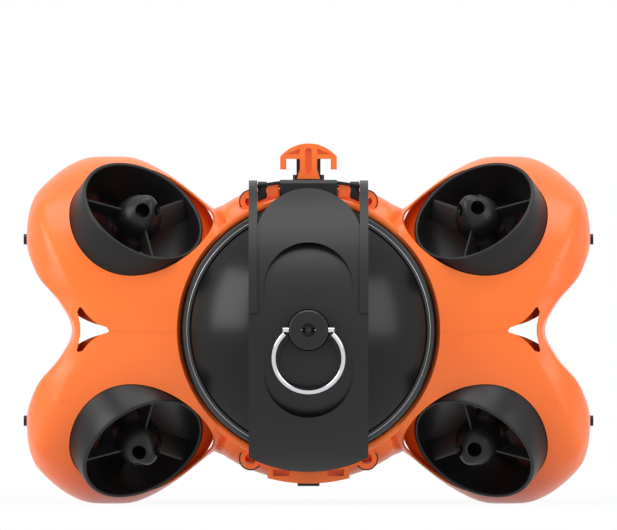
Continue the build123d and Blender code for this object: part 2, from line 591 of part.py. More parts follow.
RING_REACH_X = KNOB_R + RING_WIRE_R + RING_SIDE_PLAY
RING_BELOW = -RING_CENTRE_Z
ring_plane = Plane(
    origin=(0, RING_PIVOT_Y, AXIS_Z), x_dir=(1, 0, 0),
    z_dir=(0, -cos(radians(RING_TILT)), -sin(radians(RING_TILT))),
)
with BuildPart() as pull_ring:
    with BuildLine(ring_plane) as wire:
        bow_end = -RING_BELOW + sqrt(RING_R**2 - RING_REACH_X**2)
        bow = ThreePointArc((-RING_REACH_X, bow_end), (0, -RING_BELOW - RING_R), (RING_REACH_X, bow_end))
    with BuildSketch(Plane(origin=bow @ 0, z_dir=bow % 0)):
        Circle(RING_WIRE_R)
    sweep(path=bow)
    for sx in (-1, 1):
        pin_root = (sx * RING_PIN_START, RING_PIVOT_Y, AXIS_Z)
        with BuildSketch(Plane(origin=pin_root, x_dir=(0, 1, 0), z_dir=(sx, 0, 0))):
            Circle(RING_WIRE_R)
        extrude(amount=RING_REACH_X - RING_PIN_START + RING_PIN_PROUD)
save(pull_ring, "pull_ring")

# Tether hook on its stepped stem
HOOK_BASE_Z = BLOCK_TOP + HOOK_LIFT
HOOK_INNER_X = HOOK_HALF_WIDTH - HOOK_LEG
with BuildPart() as tether_hook:
    with BuildSketch(station(HOOK_Y)):
        with BuildLine():
            crown = ThreePointArc(
                (-HOOK_HALF_WIDTH, HOOK_SHOULDER_Z), (0, HOOK_TOP), (HOOK_HALF_WIDTH, HOOK_SHOULDER_Z)
            )
            Polyline(
                crown @ 1, (HOOK_HALF_WIDTH, HOOK_LEG_Z), (HOOK_INNER_X, HOOK_LEG_Z),
                (HOOK_INNER_X, HOOK_ARM_Z), (HOOK_STEM, HOOK_ARM_Z), (HOOK_STEM, HOOK_LEG_Z),
                (HOOK_BASE_HALF_WIDTH, HOOK_BASE_Z), (-HOOK_BASE_HALF_WIDTH, HOOK_BASE_Z),
                (-HOOK_STEM, HOOK_LEG_Z), (-HOOK_STEM, HOOK_ARM_Z), (-HOOK_INNER_X, HOOK_ARM_Z),
                (-HOOK_INNER_X, HOOK_LEG_Z), (-HOOK_HALF_WIDTH, HOOK_LEG_Z), crown @ 0,
            )
        make_face()
    extrude(amount=HOOK_THICKNESS)
    with BuildSketch(station(HOOK_Y - HOOK_THICKNESS + HOOK_POCKET_DEPTH)):
        with Locations((0, HOOK_SLOT_Z)):
            SlotOverall(HOOK_SLOT_LENGTH, HOOK_SLOT_WIDTH, rotation=90)
        for sx in (-1, 1):
            with BuildLine():
                Polyline(
                    (sx * HOOK_POCKET_X, HOOK_POCKET_TOP), (sx * HOOK_POCKET_X, HOOK_POCKET_Z),
                    (sx * HOOK_POCKET_TIP_X, HOOK_POCKET_Z), (sx * HOOK_POCKET_X, HOOK_POCKET_TOP),
                )
            make_face()
    extrude(amount=2 * HOOK_POCKET_DEPTH, mode=Mode.SUBTRACT)
save(tether_hook, "tether_hook")

STEM_MIDDLE_Y = HOOK_Y + STEM_FOOT_DEPTH / 2 + SMALL_GAP
with BuildPart() as tether_stem:
    with BuildSketch(Plane.XY.offset(AXIS_Z + BRACKET_OUTER_R - STEM_FOOT_ROOT)):
        with Locations((0, STEM_MIDDLE_Y)):
            RectangleRounded(STEM_FOOT_WIDTH, STEM_FOOT_DEPTH, STEM_CORNER_R)
    extrude(amount=HOOK_BASE_Z + STEM_FOOT_RISE - BRACKET_OUTER_R + STEM_FOOT_ROOT)
    with BuildSketch(Plane.XY.offset(AXIS_Z + HOOK_BASE_Z)):
        with Locations((0, STEM_MIDDLE_Y)):
            RectangleRounded(STEM_WIDTH, STEM_FOOT_DEPTH, STEM_CORNER_R)
    extrude(amount=HOOK_ARM_Z - HOOK_BASE_Z)
    with BuildSketch(station(HOOK_Y + 2 * STEM_FOOT_DEPTH)):
        Circle(LIP_OUTER_R + SMALL_GAP)
    extrude(amount=3 * STEM_FOOT_DEPTH, mode=Mode.SUBTRACT)
    add(rear_shell.part, mode=Mode.SUBTRACT)
    add(latch_block.part, mode=Mode.SUBTRACT)
    add(top_bracket.part, mode=Mode.SUBTRACT)
save(tether_stem, "tether_stem")

# Camera end
SCREW_Y = HULL_FRONT + BEZEL_FACE - SCREW_SINK
with BuildPart() as front_bezel:
    with BuildSketch(station(HULL_FRONT - BEZEL_LENGTH)):
        Circle(BEZEL_R)
        Circle(HULL_R, mode=Mode.SUBTRACT)
    extrude(amount=-BEZEL_LENGTH)
    with BuildSketch(station(HULL_FRONT)):
        Circle(BEZEL_R)
        Circle(WINDOW_R + FIT, mode=Mode.SUBTRACT)
    extrude(amount=-BEZEL_FACE)
    chamfer(front_bezel.edges().group_by(Axis.Y)[-1], BEZEL_BEVEL)
    with BuildSketch(station(SCREW_Y)):
        with PolarLocations(SCREW_CIRCLE_R, SCREW_COUNT):
            Circle(SCREW_R + SMALL_GAP)
    extrude(amount=-BEZEL_FACE, mode=Mode.SUBTRACT)
save(front_bezel, "front_bezel")

with BuildPart() as bezel_screws:
    with BuildSketch(station(SCREW_Y)):
        with PolarLocations(SCREW_CIRCLE_R, SCREW_COUNT):
            Circle(SCREW_R)
    extrude(amount=-SCREW_HEAD)
    with BuildSketch(station(SCREW_Y + SCREW_HEAD)):
        with PolarLocations(SCREW_CIRCLE_R, SCREW_COUNT):
            RegularPolygon(SCREW_KEY_R, 6)
    extrude(amount=SCREW_KEY_DEPTH, mode=Mode.SUBTRACT)
save(bezel_screws, "bezel_screws")

WINDOW_RISE = END_REACH - WINDOW_BASE
WINDOW_SPHERE_R = (WINDOW_R**2 + WINDOW_RISE**2) / (2 * WINDOW_RISE)
with BuildPart() as window_dome:
    with BuildSketch(side(0)):
        with Locations((END_REACH - WINDOW_SPHERE_R, 0)):
            Circle(WINDOW_SPHERE_R)
            Circle(WINDOW_SPHERE_R - WINDOW_WALL, mode=Mode.SUBTRACT)
        with Locations((WINDOW_BASE + WINDOW_RISE, WINDOW_R)):
            Rectangle(2 * WINDOW_RISE, 2 * WINDOW_R, mode=Mode.INTERSECT)
        with Locations((HULL_FRONT + WINDOW_FOOT_LENGTH / 2, WINDOW_R - WINDOW_FOOT_WIDTH / 2)):
            Rectangle(WINDOW_FOOT_LENGTH, WINDOW_FOOT_WIDTH)
    revolve(axis=Axis((0, 0, AXIS_Z), (0, 1, 0)))
save(window_dome, "window_dome")

CAMERA_PLATE_Y = TRAY_Y + TRAY_LENGTH + CAMERA_STANDOFF
CAMERA_FACE_Y = CAMERA_PLATE_Y + CAMERA_PLATE + CAMERA_LENGTH
with BuildPart() as camera_mount:
    with BuildSketch(station(CAMERA_PLATE_Y)):
        Circle(BORE_R - FIT)
    extrude(amount=-CAMERA_PLATE)
    with BuildSketch(station(CAMERA_PLATE_Y + CAMERA_PLATE)):
        Circle(CAMERA_R)
    extrude(amount=-CAMERA_LENGTH)
    chamfer(camera_mount.edges().group_by(Axis.Y)[-1], CAMERA_BEVEL)
    with BuildSketch(station(CAMERA_FACE_Y - LENS_SINK)):
        Circle(CAMERA_LENS_R + SMALL_GAP)
    extrude(amount=-2 * LENS_SINK, mode=Mode.SUBTRACT)
save(camera_mount, "camera_mount")

with BuildPart() as camera_lens:
    with BuildSketch(station(CAMERA_FACE_Y - LENS_SINK)):
        Circle(CAMERA_LENS_R)
    extrude(amount=-LENS_SINK - LENS_PROUD)
    fillet(camera_lens.edges().group_by(Axis.Y)[-1], LENS_ROUND)
save(camera_lens, "camera_lens")

with BuildPart() as light_housings:
    with BuildSketch(station(LIGHT_FRONT - LIGHT_LENGTH)):
        with Locations((LIGHT_X, 0), (-LIGHT_X, 0)):
            Circle(LIGHT_R)
    extrude(amount=-LIGHT_LENGTH)
    with BuildSketch(station(LIGHT_FRONT - LIGHT_SINK)):
        with Locations((LIGHT_X, 0), (-LIGHT_X, 0)):
            Circle(LIGHT_LENS_R + SMALL_GAP)
    extrude(amount=-2 * LIGHT_SINK, mode=Mode.SUBTRACT)
save(light_housings, "light_housings")

with BuildPart() as light_lenses:
    with BuildSketch(station(LIGHT_FRONT - LIGHT_SINK)):
        with Locations((LIGHT_X, 0), (-LIGHT_X, 0)):
            Circle(LIGHT_LENS_R)
    extrude(amount=-LIGHT_LENS_THICKNESS)
save(light_lenses, "light_lenses")

with BuildPart() as side_studs:
    for x, outward in ((SHELL_HALF_WIDTH - SHELL_WALL, 1), (-SHELL_HALF_WIDTH + SHELL_WALL, -1)):
        with BuildSketch(Plane.YZ.offset(x)):
            with Locations(*[(sy * STUD_Y, AXIS_Z + sz * STUD_Z) for sy in (-1, 1) for sz in (-1, 1)]):
                Circle(STUD_R)
        extrude(amount=outward * (SHELL_WALL + STUD_RISE))
save(side_studs, "side_studs")


# Thrusters
def duct(plane):
    """Tapered tube, open at both ends, with its inner end cut away beside the waist."""
    foot_r = DUCT_R - DUCT_TAPER
    with BuildPart() as tube:
        with BuildSketch(Plane.XZ):
            with BuildLine():
                Polyline(
                    (DUCT_R, 0), (foot_r, -DUCT_LENGTH), (foot_r - DUCT_WALL, -DUCT_LENGTH),
                    (DUCT_R - DUCT_WALL, 0), (DUCT_R, 0),
                )
            make_face()
        revolve(axis=Axis.Z)
    with BuildPart() as placed:
        add(plane * tube.part)
        with BuildSketch(Plane.XY.offset(AXIS_Z - DUCT_CLEAR_Z)):
            Rectangle(4 * SHELL_HALF_WIDTH, 4 * SHELL_HALF_WIDTH)
        extrude(amount=2 * DUCT_CLEAR_Z, mode=Mode.SUBTRACT)
    return placed


def hub_form(r, tip, foot):
    """Pointed dome of radius r from tip down to foot, about the duct's axis."""
    with BuildPart() as form:
        with BuildSketch(Plane.XZ):
            with BuildLine():
                crown = Spline(
                    (0, tip), (r * 0.55, tip * 0.5), (r, -GUARD_HUB_SKIRT), tangents=[(0.9, -0.45), (0.1, -1)]
                )
                Polyline(crown @ 1, (r, foot), (0, foot), crown @ 0)
            make_face()
        revolve(axis=Axis.Z)
    return form.part


def guard(plane, turn):
    """Thin ring in the duct's mouth, three arms and a hollow pointed hub with three round holes."""
    ring_r = DUCT_R - DUCT_WALL - DUCT_TAPER / DUCT_LENGTH * GUARD_RING_LENGTH - SMALL_GAP
    arm_start, arm_end = GUARD_HUB_R - GUARD_HUB_WALL / 2, ring_r - GUARD_RING_WALL / 2
    with BuildPart() as cage:
        with BuildSketch(Plane.XY.offset(-GUARD_RING_LENGTH)):
            Circle(ring_r)
            Circle(ring_r - GUARD_RING_WALL, mode=Mode.SUBTRACT)
        extrude(amount=GUARD_RING_LENGTH - GUARD_RING_SINK)
        add(hub_form(GUARD_HUB_R, GUARD_TIP, -GUARD_HUB_LENGTH))
        hollow = hub_form(
            GUARD_HUB_R - GUARD_HUB_WALL, GUARD_TIP - 2 * GUARD_HUB_WALL, GUARD_HUB_WALL - GUARD_HUB_LENGTH
        )
        add(hollow, mode=Mode.SUBTRACT)
        for angle in GUARD_ANGLES:
            arm = Plane.XY.rotated((0, 0, turn * angle))
            with BuildSketch(arm.offset(-GUARD_ARM_SINK)):
                with Locations(((arm_start + arm_end) / 2, 0)):
                    Rectangle(arm_end - arm_start, GUARD_ARM)
            extrude(amount=-GUARD_ARM_DEPTH)
            hole_angle = radians(turn * angle + GUARD_HOLE_TURN)
            outward = (cos(hole_angle), sin(hole_angle), GUARD_HOLE_UP)
            with BuildSketch(Plane(origin=(0, 0, GUARD_HOLE_Z), z_dir=outward)):
                Circle(GUARD_HOLE_R)
            extrude(amount=2 * GUARD_HUB_R, mode=Mode.SUBTRACT)
    with BuildPart() as placed:
        add(plane * cage.part)
    return placed


def motor(plane):
    """Plain can behind the guard's hub, with the shaft that the propeller runs on."""
    with BuildPart() as can:
        with BuildSketch(Plane.XY.offset(-MOTOR_AT)):
            Circle(MOTOR_R)
        extrude(amount=-MOTOR_LENGTH)
        with BuildSketch(Plane.XY.offset(-MOTOR_AT - MOTOR_LENGTH)):
            Circle(MOTOR_SHAFT_R)
        extrude(amount=MOTOR_AT + MOTOR_LENGTH - PROP_AT - PROP_HUB_LENGTH + PROP_BORE_END)
    with BuildPart() as placed:
        add(plane * can.part)
    return placed


def propeller(plane):
    """Hub on the motor's shaft with three twisted blades."""
    stations = (
        (PROP_HUB_R - PROP_ROOT_SINK, PROP_ROOT_CHORD, PROP_ROOT_PITCH),
        (PROP_TIP_R, PROP_CHORD, PROP_TIP_PITCH),
    )
    with BuildPart() as screw:
        with BuildSketch(Plane.XY.offset(-PROP_AT)):
            Circle(PROP_HUB_R)
        extrude(amount=-PROP_HUB_LENGTH)
        for blade in range(PROP_BLADES):
            out = radians(blade * 360 / PROP_BLADES)
            away = Vector(cos(out), sin(out), 0)
            across = Vector(-sin(out), cos(out), 0)
            for r, chord, pitch in stations:
                along = across * cos(radians(pitch)) + Vector(0, 0, 1) * sin(radians(pitch))
                middle = away * r + Vector(0, 0, -PROP_AT - PROP_HUB_LENGTH / 2)
                with BuildSketch(Plane(origin=middle, x_dir=along, z_dir=away)):
                    RectangleRounded(chord, PROP_BLADE, PROP_BLADE * 0.45)
            loft()
        with BuildSketch(Plane.XY.offset(-PROP_AT - PROP_HUB_LENGTH + PROP_BORE_END - FIT)):
            Circle(MOTOR_SHAFT_R + SMALL_GAP)
        extrude(amount=PROP_HUB_LENGTH, mode=Mode.SUBTRACT)
    with BuildPart() as placed:
        add(plane * screw.part)
    return placed


for name, sx, sy, sz in thruster_sites():
    site = duct_plane(sx, sy, sz)
    turn = sx * sy * sz
    save(duct(site), f"duct_{name}")
    save(guard(site, turn), f"guard_{name}")
    save(motor(site), f"motor_{name}")
    save(propeller(site), f"propeller_{name}")
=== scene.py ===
import json
import math

import bmesh
import bpy
import numpy as np
from mathutils import Matrix, Vector


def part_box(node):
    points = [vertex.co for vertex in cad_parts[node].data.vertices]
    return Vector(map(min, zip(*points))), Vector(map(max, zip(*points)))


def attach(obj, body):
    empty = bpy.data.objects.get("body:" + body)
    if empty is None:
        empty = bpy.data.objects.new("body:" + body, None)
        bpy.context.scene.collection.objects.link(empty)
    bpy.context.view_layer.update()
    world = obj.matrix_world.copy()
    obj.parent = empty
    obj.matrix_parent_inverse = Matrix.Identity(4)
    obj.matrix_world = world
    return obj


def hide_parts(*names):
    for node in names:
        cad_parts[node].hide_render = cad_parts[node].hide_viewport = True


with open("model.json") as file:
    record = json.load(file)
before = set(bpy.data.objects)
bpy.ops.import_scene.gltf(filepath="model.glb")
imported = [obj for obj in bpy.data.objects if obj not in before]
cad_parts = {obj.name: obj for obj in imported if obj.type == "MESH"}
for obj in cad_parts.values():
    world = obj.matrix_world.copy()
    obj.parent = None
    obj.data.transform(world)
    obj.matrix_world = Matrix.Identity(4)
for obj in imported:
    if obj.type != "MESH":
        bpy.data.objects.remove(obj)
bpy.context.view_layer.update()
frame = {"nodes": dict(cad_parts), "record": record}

# Sizes in metres. MM turns the drawing's millimetres into them.
MM = 0.001
AXIS_Z = 82.4 * MM
COLLAR_REAR_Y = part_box("rear_collar")[0].y
LIP_END, LIP_INNER_R, LIP_OUTER_R = 136 * MM, 60.3 * MM, 64.0 * MM
DUCT_CENTRE = Vector((78.4, 128.0, 55.8)) * MM
DUCT_LEAN_UP, DUCT_LEAN_OUT = math.radians(58.3), math.radians(51.3)
DUCT_RIM_R, DUCT_WALL = 31.0 * MM, 1.8 * MM

# Shell, in millimetres: each end is an outline with four lobes, rounded in side view and in plan
SHELL_LENGTH, SHELL_MID, SHELL_DEPTH, SHELL_HALF_TALL = 146.0, 61.0, 85.0, 84.0
SHELL_HALF_WIDE, SHELL_TALL_LIMIT, CORNER_R, SHELL_SKIN = 133.5, 82.4, 34.0, 3.0
LOBE_OUTLINE = [(112, 0), (117.5, 12.5), (128.5, 26.5), (133.5, 43), (127.9, 66), (100, 82.4)]
LOBE_TO_BRIDGE = [(88, 82.4), (68.5, 75.2), (45.2, 57.4)]
# The bridge between the upper lobes, and its mirror below, follow one circle round the hull from this angle on
BRIDGE_R, BRIDGE_FROM_DEG = 71.6, 56
# Moulded edges are soft on the lobes, crisper further along, and left as they are at the very tips
EDGE_SOFTNESS, TIP_SOFTNESS, SHELL_FULLNESS = 5.5, 1.4, 2.25
CRISPER_FROM, CRISPER_OVER, RAW_FROM, RAW_OVER = 112, 24, 132, 9
# The skin is worked out twice per millimetre and stays a little inside the solids' box. The grid's steps go
# round the shell, over its rounded tip up to a share of a quarter turn, and along its flank
FIELD_PER_MM, BOX_CLEARANCE, TIP_TURN = 2, 0.05, 0.972
STEPS_ROUND, STEPS_TIP, STEPS_FLANK = ((360, 72, 40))
# Waist: a round hollow in each flank, and a three-pointed cut-out behind it. The front shell's reaches further
# out and opens the flank, so that the camera looks straight through the rear one
WAIST_X, WAIST_R = 170 * MM, 92 * MM
CUTOUT_TIP, CUTOUT_INNER, CUTOUT_TIP_R = (107.9, 9.2), 95.7, 1.5
CUTOUT_HEART, CUTOUT_FRONT_REACH = 4.5, 8.0
# Lamps stand beside the front window
LAMP_X, LAMP_HOLE_R = 79.5 * MM, 10.55 * MM

# Ducts: the shell's openings, the orange flange beside each rim in millimetres and degrees, and the guards
OPENING_R = 31.9 * MM
FLANGE_ANGLE, FLANGE_SPREAD, FLANGE_WIDTH = 52.0, 52.0, 8.5
GUARD_ANGLES, BROAD_ARM = (63, 206, 304), 0
HUB_HOLE_R, HUB_HOLE_TURN = 3.4 * MM, 60
ARM_INNER_R, ARM_DEPTH = 9.6 * MM, 6.5 * MM
# Cutters along the vehicle reach this far from its middle, past the tips of both shells
CUT_REACH = 160 * MM

# Latch hinge, in millimetres: an arch over the hinge, with a link under each end
HINGE_ARCH_R, HINGE_ARCH_DROP, HINGE_ARCH_THICK, HINGE_ARCH_Y = 118.0, 46.8, 1.5, -131.0
HINGE_INNER_X, HINGE_LINK_X, HINGE_OUTER_X, HINGE_LINK_Y = 13.4, 19.8, 24.0, -129.8
HINGE_DEPTH, HINGE_BEVEL = 3.0, 0.3
# Eyes of the four ears, each with a thin bead
EAR_X, EAR_Z, EAR_FACE_Y = 27.4 * MM, 60.9 * MM, -126.2 * MM
EAR_BEAD_R, EAR_BEAD_THICK = 5.1 * MM, 0.42 * MM

# Photograph: 617 x 530 pixels, 0.4735 mm each at the shell's face, with the hull's axis on pixel row 330
PHOTO_WIDTH, PHOTO_HEIGHT = 617, 530
PHOTO_SCALE = 0.4735 * MM
AXIS_ROW = 330
# The camera is as far off, in metres, as its other views can be and still fit between the clip distances
CAMERA_DISTANCE, SHELL_FACE_Y = 11.0, -0.11
CLIP_NEAR, CLIP_FAR, SENSOR_WIDTH_MM = 1, 100, 36.0

# Slow drift of colour over moulded plastic
DRIFT_MM = 60
# Studio: the floor glows a little less than white near the vehicle and fades to white, in metres from it. The sky
# gives this much light, and each soft box has a place, width and height in metres, and watts
FLOOR_HALF, FLOOR_GLOW, FADE_FROM, FADE_TO, SKY_LIGHT = 4.0, 0.93, 0.25, 0.8, 0.45
LIT_POINT = (0, -0.1, AXIS_Z)
SOFT_BOXES = [
    ("overhead_box", (0, -0.35, 1.25), 1.2, 0.8, 9.0),
    ("left_box", (-1.25, -0.75, 0.6), 0.8, 1.0, 11.0),
    ("right_box", (1.1, -0.9, 0.45), 0.7, 0.9, 5.5),
]


def colour(code):
    """sRGB hex to linear RGBA."""
    parts = [int(code[i:i + 2], 16) / 255 for i in (1, 3, 5)]
    return [c / 12.92 if c <= 0.04045 else ((c + 0.055) / 1.055) ** 2.4 for c in parts] + [1.0]


def add_node(tree, kind, settings=(), links=()):
    """Adds a shader node, sets attributes or input values by name, and links (input, node, output) rows."""
    made = tree.nodes.new("ShaderNode" + kind)
    for name, value in dict(settings).items():
        if name in made.inputs:
            made.inputs[name].default_value = value
        else:
            setattr(made, name, value)
    for into, source, out in links:
        tree.links.new(source.outputs[out], made.inputs[into])
    return made


def new_material(name, **surface):
    """Material with one Principled shader whose plain values sit on its own sockets."""
    made = bpy.data.materials.new(name)
    made.use_nodes = True
    tree = made.node_tree
    shader = tree.nodes["Principled BSDF"]
    for socket, value in surface.items():
        shader.inputs[socket.replace("_", " ")].default_value = value
    place = add_node(tree, "TexCoord")
    return made, tree, shader, place


def moulded(name, dark, light, roughness, spread, grain_mm, bump, **surface):
    """Injection-moulded plastic: a faint drift of colour, uneven gloss and the tool's spark-eroded grain."""
    made, tree, shader, place = new_material(name, **surface)
    drift = add_node(tree, "TexNoise", {"Scale": 1 / (DRIFT_MM * MM), "Detail": 3.0}, [("Vector", place, "Object")])
    ramp = add_node(tree, "ValToRGB", links=[("Fac", drift, "Fac")])
    ramp.color_ramp.elements[0].position, ramp.color_ramp.elements[1].position = 0.3, 0.7
    ramp.color_ramp.elements[0].color, ramp.color_ramp.elements[1].color = colour(dark), colour(light)
    tree.links.new(ramp.outputs["Color"], shader.inputs["Base Color"])
    gloss = add_node(tree, "MapRange", {"To Min": roughness - spread, "To Max": roughness + spread},
                     [("Value", drift, "Fac")])
    tree.links.new(gloss.outputs["Result"], shader.inputs["Roughness"])
    grain = add_node(tree, "TexNoise", {"Scale": 1 / (grain_mm * MM), "Detail": 2.0}, [("Vector", place, "Object")])
    relief = add_node(tree, "Bump", {"Strength": bump, "Distance": 0.1 * MM}, [("Height", grain, "Fac")])
    tree.links.new(relief.outputs["Normal"], shader.inputs["Normal"])
    return made


def brushed(name, base, roughness, line_mm, metallic=1.0):
    """Metal with fine lines left by brushing or turning."""
    made, tree, shader, place = new_material(name, Metallic=metallic, Roughness=roughness)
    stretch = add_node(tree, "Mapping", {"Scale": (1.0, 0.04, 1.0)}, [("Vector", place, "Object")])
    lines = add_node(tree, "TexNoise", {"Scale": 1 / (line_mm * MM), "Detail": 2.0}, [("Vector", stretch, "Vector")])
    tone = add_node(tree, "ValToRGB", links=[("Fac", lines, "Fac")])
    tone.color_ramp.elements[0].color = [0.8 * c for c in colour(base)[:3]] + [1.0]
    tone.color_ramp.elements[1].color = colour(base)
    tree.links.new(tone.outputs["Color"], shader.inputs["Base Color"])
    relief = add_node(tree, "Bump", {"Strength": 0.15, "Distance": 0.05 * MM}, [("Height", lines, "Fac")])
    tree.links.new(relief.outputs["Normal"], shader.inputs["Normal"])
    return made


# Orange ABS, moulded: satin skin, slightly yellower where the light rakes it
orange_abs = moulded("orange_abs", "#FF7124", "#FF7A2C", 0.34, 0.03, 0.6, 0.06, Specular_IOR_Level=0.5)
# Black glass-filled nylon: grey sheen on edges, fine grain
black_nylon = moulded("black_nylon", "#161617", "#1E1E20", 0.40, 0.05, 0.5, 0.16, Specular_IOR_Level=0.3)
# Black nylon of the ducts, their skirts and the guards' hubs: the same nylon painted a little darker, as painted
# shade inside the ducts
shaded_duct_nylon = moulded("shaded_duct_nylon", "#131314", "#19191B", 0.36, 0.05, 0.5, 0.12, Specular_IOR_Level=0.3)
# Collar of the hull's end: the same nylon, painted lighter grey all over as painted light, for the light its turned
# face takes
collar_nylon_painted_lit = moulded("collar_nylon_painted_lit", "#303032", "#363638", 0.30, 0.04, 0.5, 0.08)
# Gloss acrylic of the domed cap: a deep black that mirrors the shell round it
gloss_acrylic = moulded("gloss_acrylic", "#0B0B0C", "#0E0E0F", 0.24, 0.02, 8.0, 0.02, Specular_IOR_Level=0.26)
# Nitrile rubber seal and pad: matt
nitrile = moulded("nitrile", "#0F0F10", "#151516", 0.75, 0.05, 0.4, 0.3)
# Shrink film round the cells
shrink_film = moulded("shrink_film", "#1B2A44", "#22324E", 0.3, 0.05, 5.0, 0.1)
# Solder mask on glass-fibre board
solder_mask = moulded("solder_mask", "#0F4B25", "#145A2E", 0.35, 0.05, 1.2, 0.1)
# Propeller: black nylon, smoother blades
propeller_nylon = moulded("propeller_nylon", "#101011", "#18181A", 0.32, 0.04, 0.8, 0.05)
# Hard anodised aluminium: nearly black, soft metal gloss
hard_anodised = brushed("hard_anodised", "#26272A", 0.38, 0.4, metallic=0.9)
# Stainless steel pins and screws
stainless = brushed("stainless", "#8E9094", 0.3, 0.3)
# Chromed wire: bright mirror
chrome_wire = brushed("chrome_wire", "#DADCE0", 0.07, 0.6)
# Bright metal line on the collar: a painted highlight standing in for the light its rounded edge catches
painted_highlight_line = brushed("painted_highlight_line", "#A9ABAF", 0.25, 0.3)


def clear_acrylic():
    """Acrylic window: clear, slightly grey, polished."""
    made, tree, shader, place = new_material("clear_acrylic", Roughness=0.03, Transmission_Weight=1.0, IOR=1.49)
    shader.inputs["Base Color"].default_value = colour("#E4EAEC")
    wipe = add_node(tree, "TexNoise", {"Scale": 1 / (30 * MM)}, [("Vector", place, "Object")])
    haze = add_node(tree, "MapRange", {"To Min": 0.02, "To Max": 0.05}, [("Value", wipe, "Fac")])
    tree.links.new(haze.outputs["Result"], shader.inputs["Roughness"])
    return made


def coated_lens():
    """Coated camera lens: black glass with a violet bloom."""
    return moulded("coated_lens", "#07070C", "#0C0B16", 0.06, 0.01, 10.0, 0.02, Coat_Weight=1.0, Coat_Roughness=0.03)


def frosted_lamp():
    """Frosted polycarbonate over the lamp's emitters: pale and slightly warm."""
    return moulded("frosted_lamp", "#CFCBBE", "#DEDACB", 0.3, 0.05, 1.5, 0.5)


SLOT_MATERIALS = {
    "orange_shell": orange_abs, "hull_aluminium": hard_anodised, "black_plastic": black_nylon,
    "gloss_black": gloss_acrylic, "seal_rubber": nitrile, "battery_wrap": shrink_film, "board": solder_mask,
    "steel": stainless, "chrome_wire": chrome_wire, "clear_window": clear_acrylic(), "lens_glass": coated_lens(),
    "light_glass": frosted_lamp(), "propeller_plastic": propeller_nylon,
}


def dress(piece, material):
    """Gives every face of a piece one material."""
    if not piece.material_slots:
        piece.data.materials.append(material)
    for place in piece.material_slots:
        place.material = material


for row in frame["record"]["subparts"]:
    dress(frame["nodes"][row["node"]], SLOT_MATERIALS[row["material_slot"]])
# Ducts and guards wear the darker nylon: painted shade inside the ducts
for node_name, node in frame["nodes"].items():
    if node_name.startswith(("duct_", "guard_")):
        dress(node, shaded_duct_nylon)
# The collar wears the nylon painted lighter grey: painted light on its turned face
dress(frame["nodes"]["rear_collar"], collar_nylon_painted_lit)


def show(name, data):
    """Object that holds a mesh, lamp or camera, linked to the scene."""
    made = bpy.data.objects.new(name, data)
    bpy.context.scene.collection.objects.link(made)
    return made


def mesh_object(name, mesh):
    """Object from a bmesh, which it frees."""
    data = bpy.data.meshes.new(name)
    mesh.to_mesh(data)
    mesh.free()
    return show(name, data)


def mesh_piece(name, mesh, body, material):
    """Smooth object from a bmesh, riding on a body."""
    made = mesh_object(name, mesh)
    for face in made.data.polygons:
        face.use_smooth = True
    dress(made, material)
    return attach(made, body)


def ring_bead(mesh, matrix, major, minor, steps=128, sides=10):
    """Adds a torus to mesh. Its axis is the matrix's z."""
    rows = []
    for i in range(steps):
        turn = 2 * math.pi * i / steps
        out = Vector((math.cos(turn), math.sin(turn), 0))
        row = []
        for j in range(sides):
            tilt = 2 * math.pi * j / sides
            point = out * (major + minor * math.cos(tilt)) + Vector((0, 0, minor * math.sin(tilt)))
            row.append(mesh.verts.new(matrix @ point))
        rows.append(row)
    for i in range(steps):
        for j in range(sides):
            a, b = rows[i], rows[(i + 1) % steps]
            mesh.faces.new((a[j], b[j], b[(j + 1) % sides], a[(j + 1) % sides]))


def station(y):
    """Matrix on the hull's axis at y whose z faces the battery end."""
    return Matrix.Translation((0, y, AXIS_Z)) @ Matrix.Rotation(math.radians(90), 4, "X")


def duct_matrix(sx, sy, sz):
    """Matrix of a duct's rim, with z the way the water leaves and x across the lean."""
    lean = Vector((-sx * math.cos(DUCT_LEAN_UP) * math.sin(DUCT_LEAN_OUT), sy * math.cos(DUCT_LEAN_OUT),
                   sz * math.sin(DUCT_LEAN_UP) * math.sin(DUCT_LEAN_OUT)))
    across = Vector((-sx * math.sin(DUCT_LEAN_UP), 0, -sz * math.cos(DUCT_LEAN_UP)))
    away = lean.cross(across)
    turn = Matrix((across, away, lean)).transposed().to_4x4()
    centre = Vector((sx * DUCT_CENTRE.x, sy * DUCT_CENTRE.y, AXIS_Z + sz * DUCT_CENTRE.z))
    return Matrix.Translation(centre) @ turn


THRUSTERS = [
    (f"{end}_{flank}_{level}", duct_matrix(sx, sy, sz), sx * sy * sz)
    for end, sy in (("rear", -1), ("front", 1))
    for flank, sx in (("left", -1), ("right", 1))
    for level, sz in (("upper", 1), ("lower", -1))
]


def spline_points(points, start, end, steps=14):
    """Points on a cubic through the given 2-D points, leaving and arriving along start and end."""
    points = [np.array(p, float) for p in points]
    spans = [np.linalg.norm(b - a) for a, b in zip(points, points[1:])]
    slopes = [np.array(start, float) / np.linalg.norm(start)]
    for i in range(1, len(points) - 1):
        slopes.append((points[i + 1] - points[i - 1]) / (spans[i] + spans[i - 1]))
    slopes.append(np.array(end, float) / np.linalg.norm(end))
    found = []
    for i, span in enumerate(spans):
        for t in np.linspace(0, 1, steps, endpoint=i == len(spans) - 1):
            found.append(points[i] * (2 * t**3 - 3 * t**2 + 1) + points[i + 1] * (3 * t**2 - 2 * t**3)
                         + span * (slopes[i] * (t**3 - 2 * t**2 + t) + slopes[i + 1] * (t**3 - t**2)))
    return found


def blur(field, sigma, axis, wrap):
    """Gaussian blur of a 2-D field along one axis."""
    reach = int(3 * sigma) + 1
    weights = np.exp(-0.5 * (np.arange(-reach, reach + 1) / sigma) ** 2)
    weights /= weights.sum()
    padding = [(0, 0), (0, 0)]
    padding[axis] = (reach, reach)
    padded = np.pad(field, padding, mode="wrap" if wrap else "reflect", **({} if wrap else {"reflect_type": "odd"}))
    return np.apply_along_axis(lambda row: np.convolve(row, weights, "valid"), axis, padded)


